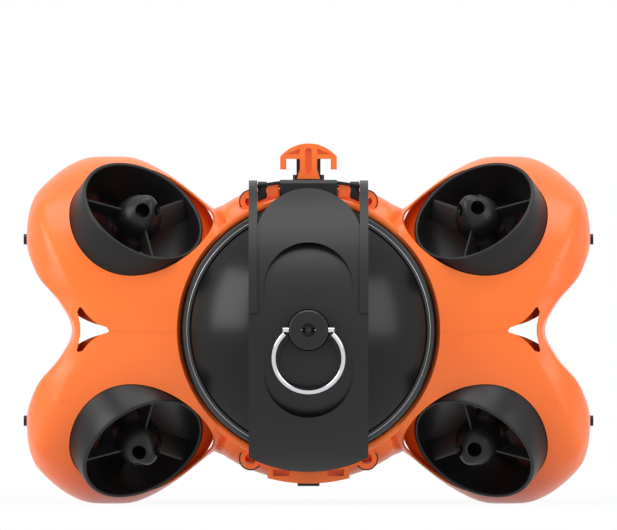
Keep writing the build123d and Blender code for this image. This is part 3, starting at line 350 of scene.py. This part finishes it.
def shell_radii(stations, angles):
    """Distance of the shell's skin from the hull's axis at each station and angle, in mm, with soft edges."""
    points = spline_points(LOBE_OUTLINE, (0, 1), (-1, 0))
    points += spline_points(LOBE_TO_BRIDGE, (-1, 0), (-0.78, -0.62))
    turn = [math.atan2(z, x) for x, z in points] + [math.radians(BRIDGE_FROM_DEG), math.pi / 2]
    reach = [math.hypot(x, z) for x, z in points] + [BRIDGE_R, BRIDGE_R]
    folded = np.abs(np.arctan2(np.sin(angles), np.cos(angles)))
    folded = np.minimum(folded, math.pi - folded)
    outline = np.interp(folded, turn, reach)
    along = np.abs((stations - SHELL_MID) / SHELL_DEPTH)
    tall = SHELL_HALF_TALL * np.clip(1 - along**SHELL_FULLNESS, 1e-6, 1) ** (1 / SHELL_FULLNESS)
    corner = np.clip(stations - (SHELL_LENGTH - CORNER_R), 0, CORNER_R)
    wide = SHELL_HALF_WIDE - CORNER_R + np.sqrt(CORNER_R**2 - corner**2)
    radii = np.minimum(outline[None, :], tall[:, None] / np.maximum(np.abs(np.sin(angles)), 1e-4)[None, :])
    radii = np.minimum(radii, wide[:, None] / np.maximum(np.abs(np.cos(angles)), 1e-4)[None, :])
    widest = radii.max(axis=0)
    fields = []
    for softness in (EDGE_SOFTNESS, TIP_SOFTNESS):
        fields.append(blur(blur(radii, softness / (stations[1] - stations[0]), 0, False),
                           softness / (100 * (angles[1] - angles[0])), 1, True))
    share = np.clip((stations - CRISPER_FROM) / CRISPER_OVER, 0, 1)
    share = (share * share * (3 - 2 * share))[:, None]
    soft = fields[0] * (1 - share) + fields[1] * share
    share = np.clip((stations - RAW_FROM) / RAW_OVER, 0, 1)[:, None]
    soft = soft * (1 - share) + radii * share
    return np.clip(soft * (widest / soft.max(axis=0))[None, :], 1, None)


def end_form(side_y, inset):
    """Closed form of one end of the vehicle on a grid of stations and angles, moved inwards by inset."""
    angles = np.linspace(0, 2 * math.pi, STEPS_ROUND + 1)[:-1]
    even = np.linspace(0, SHELL_LENGTH, int(SHELL_LENGTH * FIELD_PER_MM) + 1)
    last = len(even) - 1
    field = shell_radii(even, angles)
    limit = np.minimum(SHELL_HALF_WIDE / np.maximum(np.abs(np.cos(angles)), 1e-4),
                       SHELL_TALL_LIMIT / np.maximum(np.abs(np.sin(angles)), 1e-4))
    field = np.minimum(field, limit[None, :] - BOX_CLEARANCE) - inset
    rise = np.linspace(0, TIP_TURN * math.pi / 2, STEPS_TIP)[1:-1]
    stations = np.concatenate([np.linspace(0 if inset == 0 else -2, SHELL_MID, STEPS_FLANK),
                               SHELL_MID + (SHELL_LENGTH - SHELL_MID - inset) * np.sin(rise)])
    grid = []
    for y in stations:
        at = min(max((y + (inset if y > SHELL_MID else 0)) * FIELD_PER_MM, 0), last)
        low = min(int(at), last - 1)
        row = np.maximum(field[low] * (1 - at + low) + field[low + 1] * (at - low), 0.5)
        grid.append([(r * math.cos(a) * MM, side_y * y * MM, AXIS_Z + r * math.sin(a) * MM)
                     for r, a in zip(row, angles)])
    mesh = bmesh.new()
    grid = [[mesh.verts.new(place) for place in row] for row in grid]
    count = len(angles)
    for low, high in zip(grid, grid[1:]):
        for i in range(count):
            mesh.faces.new((low[i], low[(i + 1) % count], high[(i + 1) % count], high[i]))
    mesh.faces.new(grid[0])
    mesh.faces.new(grid[-1])
    bmesh.ops.recalc_face_normals(mesh, faces=mesh.faces)
    return mesh


def rod(matrix, r, low, high, steps=96):
    """Cylinder along the matrix's z, as a cutter."""
    mesh = bmesh.new()
    bmesh.ops.create_cone(mesh, cap_ends=True, segments=steps, radius1=r, radius2=r, depth=high - low,
                          matrix=matrix @ Matrix.Translation((0, 0, (low + high) / 2)))
    return mesh


def triangle_prism(sx, reach):
    """Waist cut-out with rounded tips, right through the shell, its outer side moved out by reach in mm."""
    tip = Vector((CUTOUT_TIP[0] + reach, CUTOUT_TIP[1]))
    corners = [tip, Vector((tip.x, -tip.y)), Vector((CUTOUT_INNER, 0))]
    heart = Vector((tip.x - CUTOUT_HEART, 0))
    edge = []
    for a, b in zip(corners, corners[1:] + corners[:1]):
        middle = (a + b + heart) / 3
        across = (b - a).normalized()
        outward = Vector((across.y, -across.x))
        if outward.dot((a + b) / 2 - heart) < 0:
            outward.negate()
        for t in np.linspace(0.04, 0.96, 15):
            bow = a.lerp(b, t) + (middle - (a + b) / 2) * (1 - (2 * t - 1) ** 2)
            edge.append(bow + outward * CUTOUT_TIP_R)
        for turn in range(1, 6):
            away = (b - heart).normalized()
            edge.append(b + (outward.lerp(away, turn / 6)).normalized() * CUTOUT_TIP_R)
    mesh = bmesh.new()
    ends = []
    for y in (-CUT_REACH, CUT_REACH):
        ends.append([mesh.verts.new((sx * p.x * MM, y, AXIS_Z + p.y * MM)) for p in edge])
        mesh.faces.new(ends[-1])
    for i in range(len(edge)):
        mesh.faces.new((ends[0][i], ends[0][(i + 1) % len(edge)], ends[1][(i + 1) % len(edge)], ends[1][i]))
    bmesh.ops.recalc_face_normals(mesh, faces=mesh.faces)
    return mesh


def carve(made, cutters):
    """Takes each cutter mesh out of an object."""
    spare = []
    for i, cutter in enumerate(cutters):
        data = bpy.data.meshes.new(f"cutter_{i}")
        cutter.to_mesh(data)
        cutter.free()
        tool = bpy.data.objects.new(f"cutter_{i}", data)
        bpy.context.scene.collection.objects.link(tool)
        cut = made.modifiers.new(f"cut_{i}", "BOOLEAN")
        cut.operation, cut.solver, cut.object = "DIFFERENCE", "EXACT", tool
        spare.append(tool)
    data = bpy.data.meshes.new_from_object(made.evaluated_get(bpy.context.evaluated_depsgraph_get()))
    made.modifiers.clear()
    made.data = data
    for tool in spare:
        bpy.data.objects.remove(tool)


def crisp(data, degrees=32):
    """Smooth shading with hard edges where faces meet at more than this angle."""
    mesh = bmesh.new()
    mesh.from_mesh(data)
    for edge in mesh.edges:
        edge.smooth = edge.calc_face_angle(0) < math.radians(degrees)
    for face in mesh.faces:
        face.smooth = True
    mesh.to_mesh(data)
    mesh.free()


def moulded_shell(node_name, sy):
    """Soft-edged skin of one end, cut for the ducts, the waist and the hull, which leaves room for its sleeve."""
    made = mesh_object(node_name + "_moulding", end_form(sy, 0))
    upright = Matrix.Translation((0, 0, AXIS_Z))
    end = "rear" if sy < 0 else "front"
    cutters = [rod(rim, OPENING_R, -36 * MM, 50 * MM) for name, rim, _ in THRUSTERS if name.startswith(end)]
    cutters += [rod(Matrix.Translation((sx * WAIST_X, 0, 0)) @ upright, WAIST_R, -0.1, 0.1, 160)
                for sx in (-1, 1)]
    cutters += [triangle_prism(sx, CUTOUT_FRONT_REACH if sy > 0 else 0) for sx in (-1, 1)]
    cutters.append(rod(station(0), (LIP_INNER_R + LIP_OUTER_R) / 2, -CUT_REACH, CUT_REACH, 160))
    cutters.append(end_form(sy, SHELL_SKIN))
    if sy > 0:
        cutters += [rod(Matrix.Translation((sx * LAMP_X, 0, 0)) @ station(0), LAMP_HOLE_R, -CUT_REACH, -50 * MM)
                    for sx in (-1, 1)]
    carve(made, cutters)
    crisp(made.data)
    made.data.materials.clear()
    dress(made, orange_abs)
    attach(made, "root")
    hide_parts(node_name)


def sleeve(node_name, sy):
    """Ring of the shell that grips the hull, with a rounded mouth."""
    mesh = bmesh.new()
    bead = 1.2 * MM
    profile = [(LIP_INNER_R, 0.0)]
    profile += [(LIP_INNER_R, LIP_END - bead), (LIP_INNER_R + bead * 0.4, LIP_END - bead * 0.3),
                (LIP_INNER_R + bead, LIP_END), (LIP_OUTER_R - bead, LIP_END),
                (LIP_OUTER_R - bead * 0.3, LIP_END - bead * 0.3), (LIP_OUTER_R, LIP_END - bead), (LIP_OUTER_R, 0.0)]
    lathe(mesh, Matrix.Translation((0, 0, AXIS_Z)) @ Matrix.Rotation(math.radians(90 if sy < 0 else -90), 4, "X"),
          profile, 160)
    made = mesh_piece(node_name + "_sleeve", mesh, "root", orange_abs)
    crisp(made.data, 50)
    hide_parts(node_name)


def lathe(mesh, matrix, profile, steps=64, closed=True):
    """Turns a profile of (radius, height) points about the matrix's z."""
    rings = []
    for i in range(steps):
        turn = 2 * math.pi * i / steps
        rings.append([mesh.verts.new(matrix @ Vector((r * math.cos(turn), r * math.sin(turn), h)))
                      for r, h in profile])
    last = len(profile) if closed else len(profile) - 1
    for i in range(steps):
        a, b = rings[i], rings[(i + 1) % steps]
        for j in range(last):
            k = (j + 1) % len(profile)
            mesh.faces.new((a[j], b[j], b[k], a[k]))
    bmesh.ops.remove_doubles(mesh, verts=mesh.verts, dist=1e-6)
    bmesh.ops.recalc_face_normals(mesh, faces=mesh.faces)


def duct_flare(name, matrix):
    """Skirt on a duct's outer wall that closes the gap to the shell's opening."""
    mesh = bmesh.new()
    lathe(mesh, matrix, [(29.6 * MM, -0.3 * MM), (31.02 * MM, -0.3 * MM), (31.35 * MM, -3 * MM),
                         (OPENING_R - 0.3 * MM, -8 * MM), (OPENING_R - 0.3 * MM, -30 * MM),
                         (30.2 * MM, -30 * MM)], 96)
    made = mesh_piece(f"duct_flare_{name}", mesh, "root", shaded_duct_nylon)
    crisp(made.data, 40)


def painted_highlight_ring():
    """Bright metal line round the collar's rear face: a painted highlight for the light caught by its rounded edge.
    """
    mesh = bmesh.new()
    ring_bead(mesh, station(COLLAR_REAR_Y + 0.1 * MM), 57.4 * MM, 0.35 * MM)
    mesh_piece("collar_painted_highlight", mesh, "root", painted_highlight_line)


def duct_lip(name, matrix):
    """Rounded mouth of a duct, which catches a thin light edge."""
    mesh = bmesh.new()
    ring_bead(mesh, matrix, DUCT_RIM_R - DUCT_WALL / 2, DUCT_WALL / 2 + 0.05 * MM)
    mesh_piece(f"duct_lip_{name}", mesh, "root", black_nylon)


def duct_flange(name, matrix, hand):
    """Orange wall of the shell behind a duct's rim, on the side towards the hull."""
    mesh = bmesh.new()
    rows = []
    for turn in np.linspace(-FLANGE_SPREAD, FLANGE_SPREAD, 49):
        width = FLANGE_WIDTH * math.cos(turn * 90 / FLANGE_SPREAD * math.pi / 180) + 0.15
        angle = math.radians(hand * (FLANGE_ANGLE + turn))
        out = Vector((math.cos(angle), math.sin(angle), 0))
        section = [(31.3, -1.6), (31.5 + width * 0.5, -1.9), (31.5 + width, -3.4), (31.5 + width, -20.0),
                   (31.3, -20.0)]
        rows.append([mesh.verts.new(matrix @ (out * r * MM + Vector((0, 0, h * MM)))) for r, h in section])
    for a, b in zip(rows, rows[1:]):
        for j in range(5):
            k = (j + 1) % 5
            mesh.faces.new((a[j], b[j], b[k], a[k]))
    mesh.faces.new(rows[0])
    mesh.faces.new(rows[-1])
    bmesh.ops.recalc_face_normals(mesh, faces=mesh.faces)
    made = mesh_piece(f"duct_flange_{name}", mesh, "root", orange_abs)
    carve(made, [rod(station(0), LIP_INNER_R + 0.1 * MM, -CUT_REACH, CUT_REACH, 160)])
    crisp(made.data, 40)


def hub_profile():
    """Pointed dome of the guard's hub, outside and inside, as (radius, height)."""
    outside = [(0.0, 10.0), (2.2, 9.1), (4.4, 7.3), (6.4, 5.2), (8.3, 2.9), (9.8, 0.3), (10.7, -2.6), (11.0, -5.5),
               (10.8, -9.0), (10.1, -12.0)]
    inside = [(9.2, -12.0), (9.6, -5.5), (8.6, -1.2), (6.0, 3.0), (3.0, 6.2), (0.0, 7.6)]
    return [(r * MM, h * MM) for r, h in outside + inside]


def blade(mesh, matrix, low, high, half, top, depth, lean):
    """Arm of the guard: a plate from radius low to high, with its top edge rounded."""
    corners = []
    for r in (low, high):
        section = [(-half, top - depth), (-half, top - half * 0.7), (-half * 0.45, top), (half * 0.45, top),
                   (half, top - half * 0.7), (half, top - depth)]
        corners.append([mesh.verts.new(matrix @ Vector((r, w + lean * (top - h), h))) for w, h in section])
    a, b = corners
    for i in range(6):
        k = (i + 1) % 6
        mesh.faces.new((a[i], a[k], b[k], b[i]))
    mesh.faces.new(a[::-1])
    mesh.faces.new(b)


def propeller_guard(name, matrix, hand):
    """Hub with three round holes, two upright arms and one broad leaning arm."""
    mesh = bmesh.new()
    lathe(mesh, matrix, hub_profile(), 72, closed=False)
    hub = mesh_object(f"guard_hub_{name}", mesh)
    cutters = []
    for angle in GUARD_ANGLES:
        turn = math.radians(hand * angle + HUB_HOLE_TURN)
        outward = Vector((math.cos(turn), math.sin(turn), 0.75)).normalized()
        aim = outward.to_track_quat("Z", "Y").to_matrix().to_4x4()
        cutters.append(rod(matrix @ Matrix.Translation((0, 0, 1.0 * MM)) @ aim, HUB_HOLE_R, 3 * MM, 20 * MM, 40))
    carve(hub, cutters)
    crisp(hub.data, 38)
    dress(hub, shaded_duct_nylon)
    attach(hub, "root")
    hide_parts(f"guard_{name}")
    mesh = bmesh.new()
    wall = (DUCT_RIM_R - DUCT_WALL) - 0.15 * MM
    for index, angle in enumerate(GUARD_ANGLES):
        arm = matrix @ Matrix.Rotation(math.radians(hand * angle), 4, "Z")
        half, top, lean = (0.6, -1.2, -1.1 * hand) if index == BROAD_ARM else (0.5, -1.4, 0.0)
        blade(mesh, arm, ARM_INNER_R, wall, half * MM, top * MM, ARM_DEPTH, lean)
    bmesh.ops.recalc_face_normals(mesh, faces=mesh.faces)
    arms = mesh_piece(f"guard_arms_{name}", mesh, "root", black_nylon)
    crisp(arms.data, 38)
    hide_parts(f"guard_{name}")


def hinge_plate(name, corners, y_rear):
    """Flat black plate across the hull from its outline as seen from the battery end, with softened edges."""
    mesh = bmesh.new()
    ends = []
    for y in (y_rear, y_rear + HINGE_DEPTH):
        ends.append([mesh.verts.new((x * MM, y * MM, AXIS_Z + z * MM)) for x, z in corners])
        mesh.faces.new(ends[-1])
    for i in range(len(corners)):
        k = (i + 1) % len(corners)
        mesh.faces.new((ends[0][i], ends[0][k], ends[1][k], ends[1][i]))
    bmesh.ops.recalc_face_normals(mesh, faces=mesh.faces)
    bmesh.ops.bevel(mesh, geom=[e for e in mesh.edges if e.calc_face_angle(0) > 0.5], offset=HINGE_BEVEL * MM,
                    segments=2, profile=0.5, affect="EDGES")
    made = mesh_piece(name, mesh, "root", black_nylon)
    crisp(made.data, 40)


def arch_line(low, high, steps):
    """Points on the hinge arch between two distances from the middle, in mm."""
    return [(x, math.sqrt(HINGE_ARCH_R**2 - x * x) - HINGE_ARCH_DROP) for x in np.linspace(low, high, steps)]


def hinge_cover(sx):
    """Black link between the lug and the rail, topped by its half of the arched hinge cover."""
    flank = "left" if sx < 0 else "right"
    link = arch_line(HINGE_LINK_X, HINGE_OUTER_X, 6) + [(HINGE_OUTER_X, 60.6), (HINGE_LINK_X, 62.4)]
    hinge_plate(f"hinge_cover_{flank}", [(sx * x, z) for x, z in link], HINGE_LINK_Y)
    arch = arch_line(HINGE_INNER_X, HINGE_OUTER_X, 10)
    arch += [(x, z - HINGE_ARCH_THICK) for x, z in arch[::-1]]
    hinge_plate(f"hinge_arch_{flank}", [(sx * x, z) for x, z in arch], HINGE_ARCH_Y)


def ear_outline(sx, sz):
    """Thin black bead round an ear's eye."""
    mesh = bmesh.new()
    ring_bead(mesh, Matrix.Translation((sx * EAR_X, 0, sz * EAR_Z)) @ station(EAR_FACE_Y), EAR_BEAD_R,
              EAR_BEAD_THICK, 72, 8)
    mesh_piece(f"ear_cord_{sx}_{sz}".replace("-", "m"), mesh, "root", black_nylon)


for shell_name, shell_side in (("rear_shell", -1), ("front_shell", 1)):
    moulded_shell(shell_name, shell_side)
    sleeve(shell_name, shell_side)
for side_x in (-1, 1):
    hinge_cover(side_x)
    for side_z in (-1, 1):
        ear_outline(side_x, side_z)
# A bright line on the collar paints in the highlight of its rounded edge
painted_highlight_ring()
for thruster_name, rim, hand in THRUSTERS:
    duct_lip(thruster_name, rim)
    duct_flare(thruster_name, rim)
    duct_flange(thruster_name, rim, hand)
    propeller_guard(thruster_name, rim, hand)


def rays_seen(tree):
    """Node that is 1 for what the camera sees directly, in polished faces or through the window."""
    path = add_node(tree, "LightPath")
    direct = add_node(tree, "Math", {"operation": "MAXIMUM"},
                      [(0, path, "Is Camera Ray"), (1, path, "Is Transmission Ray")])
    return add_node(tree, "Math", {"operation": "MAXIMUM"}, [(0, direct, 0), (1, path, "Is Glossy Ray")])


def paper_white():
    """Matt board that reads as white to the camera and keeps a faint shadow near the vehicle."""
    made = bpy.data.materials.new("white_board")
    made.use_nodes = True
    tree = made.node_tree
    tree.nodes.remove(tree.nodes["Principled BSDF"])
    seen = rays_seen(tree)
    card = add_node(tree, "BsdfDiffuse", {"Color": (0.8, 0.8, 0.8, 1)})
    glow = add_node(tree, "Emission", {"Color": (1, 1, 1, 1), "Strength": 1.0})
    place = add_node(tree, "TexCoord")
    away = add_node(tree, "VectorMath", {"operation": "LENGTH"}, [("Vector", place, "Object")])
    fade = add_node(tree, "MapRange", {"From Min": FADE_FROM, "From Max": FADE_TO, "To Min": FLOOR_GLOW,
                                       "To Max": 1.0}, [("Value", away, "Value")])
    share = add_node(tree, "Math", {"operation": "MULTIPLY"}, [(0, seen, 0), (1, fade, 0)])
    mix = add_node(tree, "MixShader", links=[(0, share, 0), (1, card, 0), (2, glow, 0)])
    tree.links.new(mix.outputs[0], tree.nodes["Material Output"].inputs["Surface"])
    return made


def floor():
    """Square of white board under the vehicle."""
    mesh = bmesh.new()
    corners = ((-1, -1), (1, -1), (1, 1), (-1, 1))
    mesh.faces.new([mesh.verts.new((x * FLOOR_HALF, y * FLOOR_HALF, 0)) for x, y in corners])
    made = mesh_object("floor", mesh)
    dress(made, paper_white())


def soft_box(name, place, width, height, power):
    """Area light that faces the battery end."""
    data = bpy.data.lights.new(name, "AREA")
    data.shape, data.size, data.size_y, data.energy = "RECTANGLE", width, height, power
    made = show(name, data)
    made.location = place
    made.rotation_euler = (Vector(LIT_POINT) - Vector(place)).to_track_quat("-Z", "Y").to_euler()


def world_light():
    """White surroundings, seen by the camera and by polished faces, with a softer level as light."""
    world = bpy.data.worlds.new("studio")
    bpy.context.scene.world = world
    world.use_nodes = True
    tree = world.node_tree
    seen = rays_seen(tree)
    level = add_node(tree, "MapRange", {"To Min": SKY_LIGHT, "To Max": 1.0}, [("Value", seen, 0)])
    sky = tree.nodes["Background"]
    sky.inputs["Color"].default_value = (1, 1, 1, 1)
    tree.links.new(level.outputs["Result"], sky.inputs["Strength"])


def photo_camera():
    """Level view from the battery end, through a long lens, framed as the photograph."""
    data = bpy.data.cameras.new("photo_camera")
    camera = show("photo_camera", data)
    camera.location = (0, SHELL_FACE_Y - CAMERA_DISTANCE, AXIS_Z)
    camera.rotation_euler = (math.radians(90), 0, 0)
    data.sensor_fit, data.sensor_width = "HORIZONTAL", SENSOR_WIDTH_MM
    data.lens = data.sensor_width * CAMERA_DISTANCE / (PHOTO_WIDTH * PHOTO_SCALE)
    data.shift_y = (AXIS_ROW - PHOTO_HEIGHT / 2) / PHOTO_WIDTH
    data.clip_start, data.clip_end = CLIP_NEAR, CLIP_FAR
    bpy.context.scene.camera = camera


floor()
for box_name, box_place, box_width, box_height, watts in SOFT_BOXES:
    soft_box(box_name, box_place, box_width, box_height, watts)
world_light()
photo_camera()
bpy.context.scene.view_settings.view_transform = "Standard"
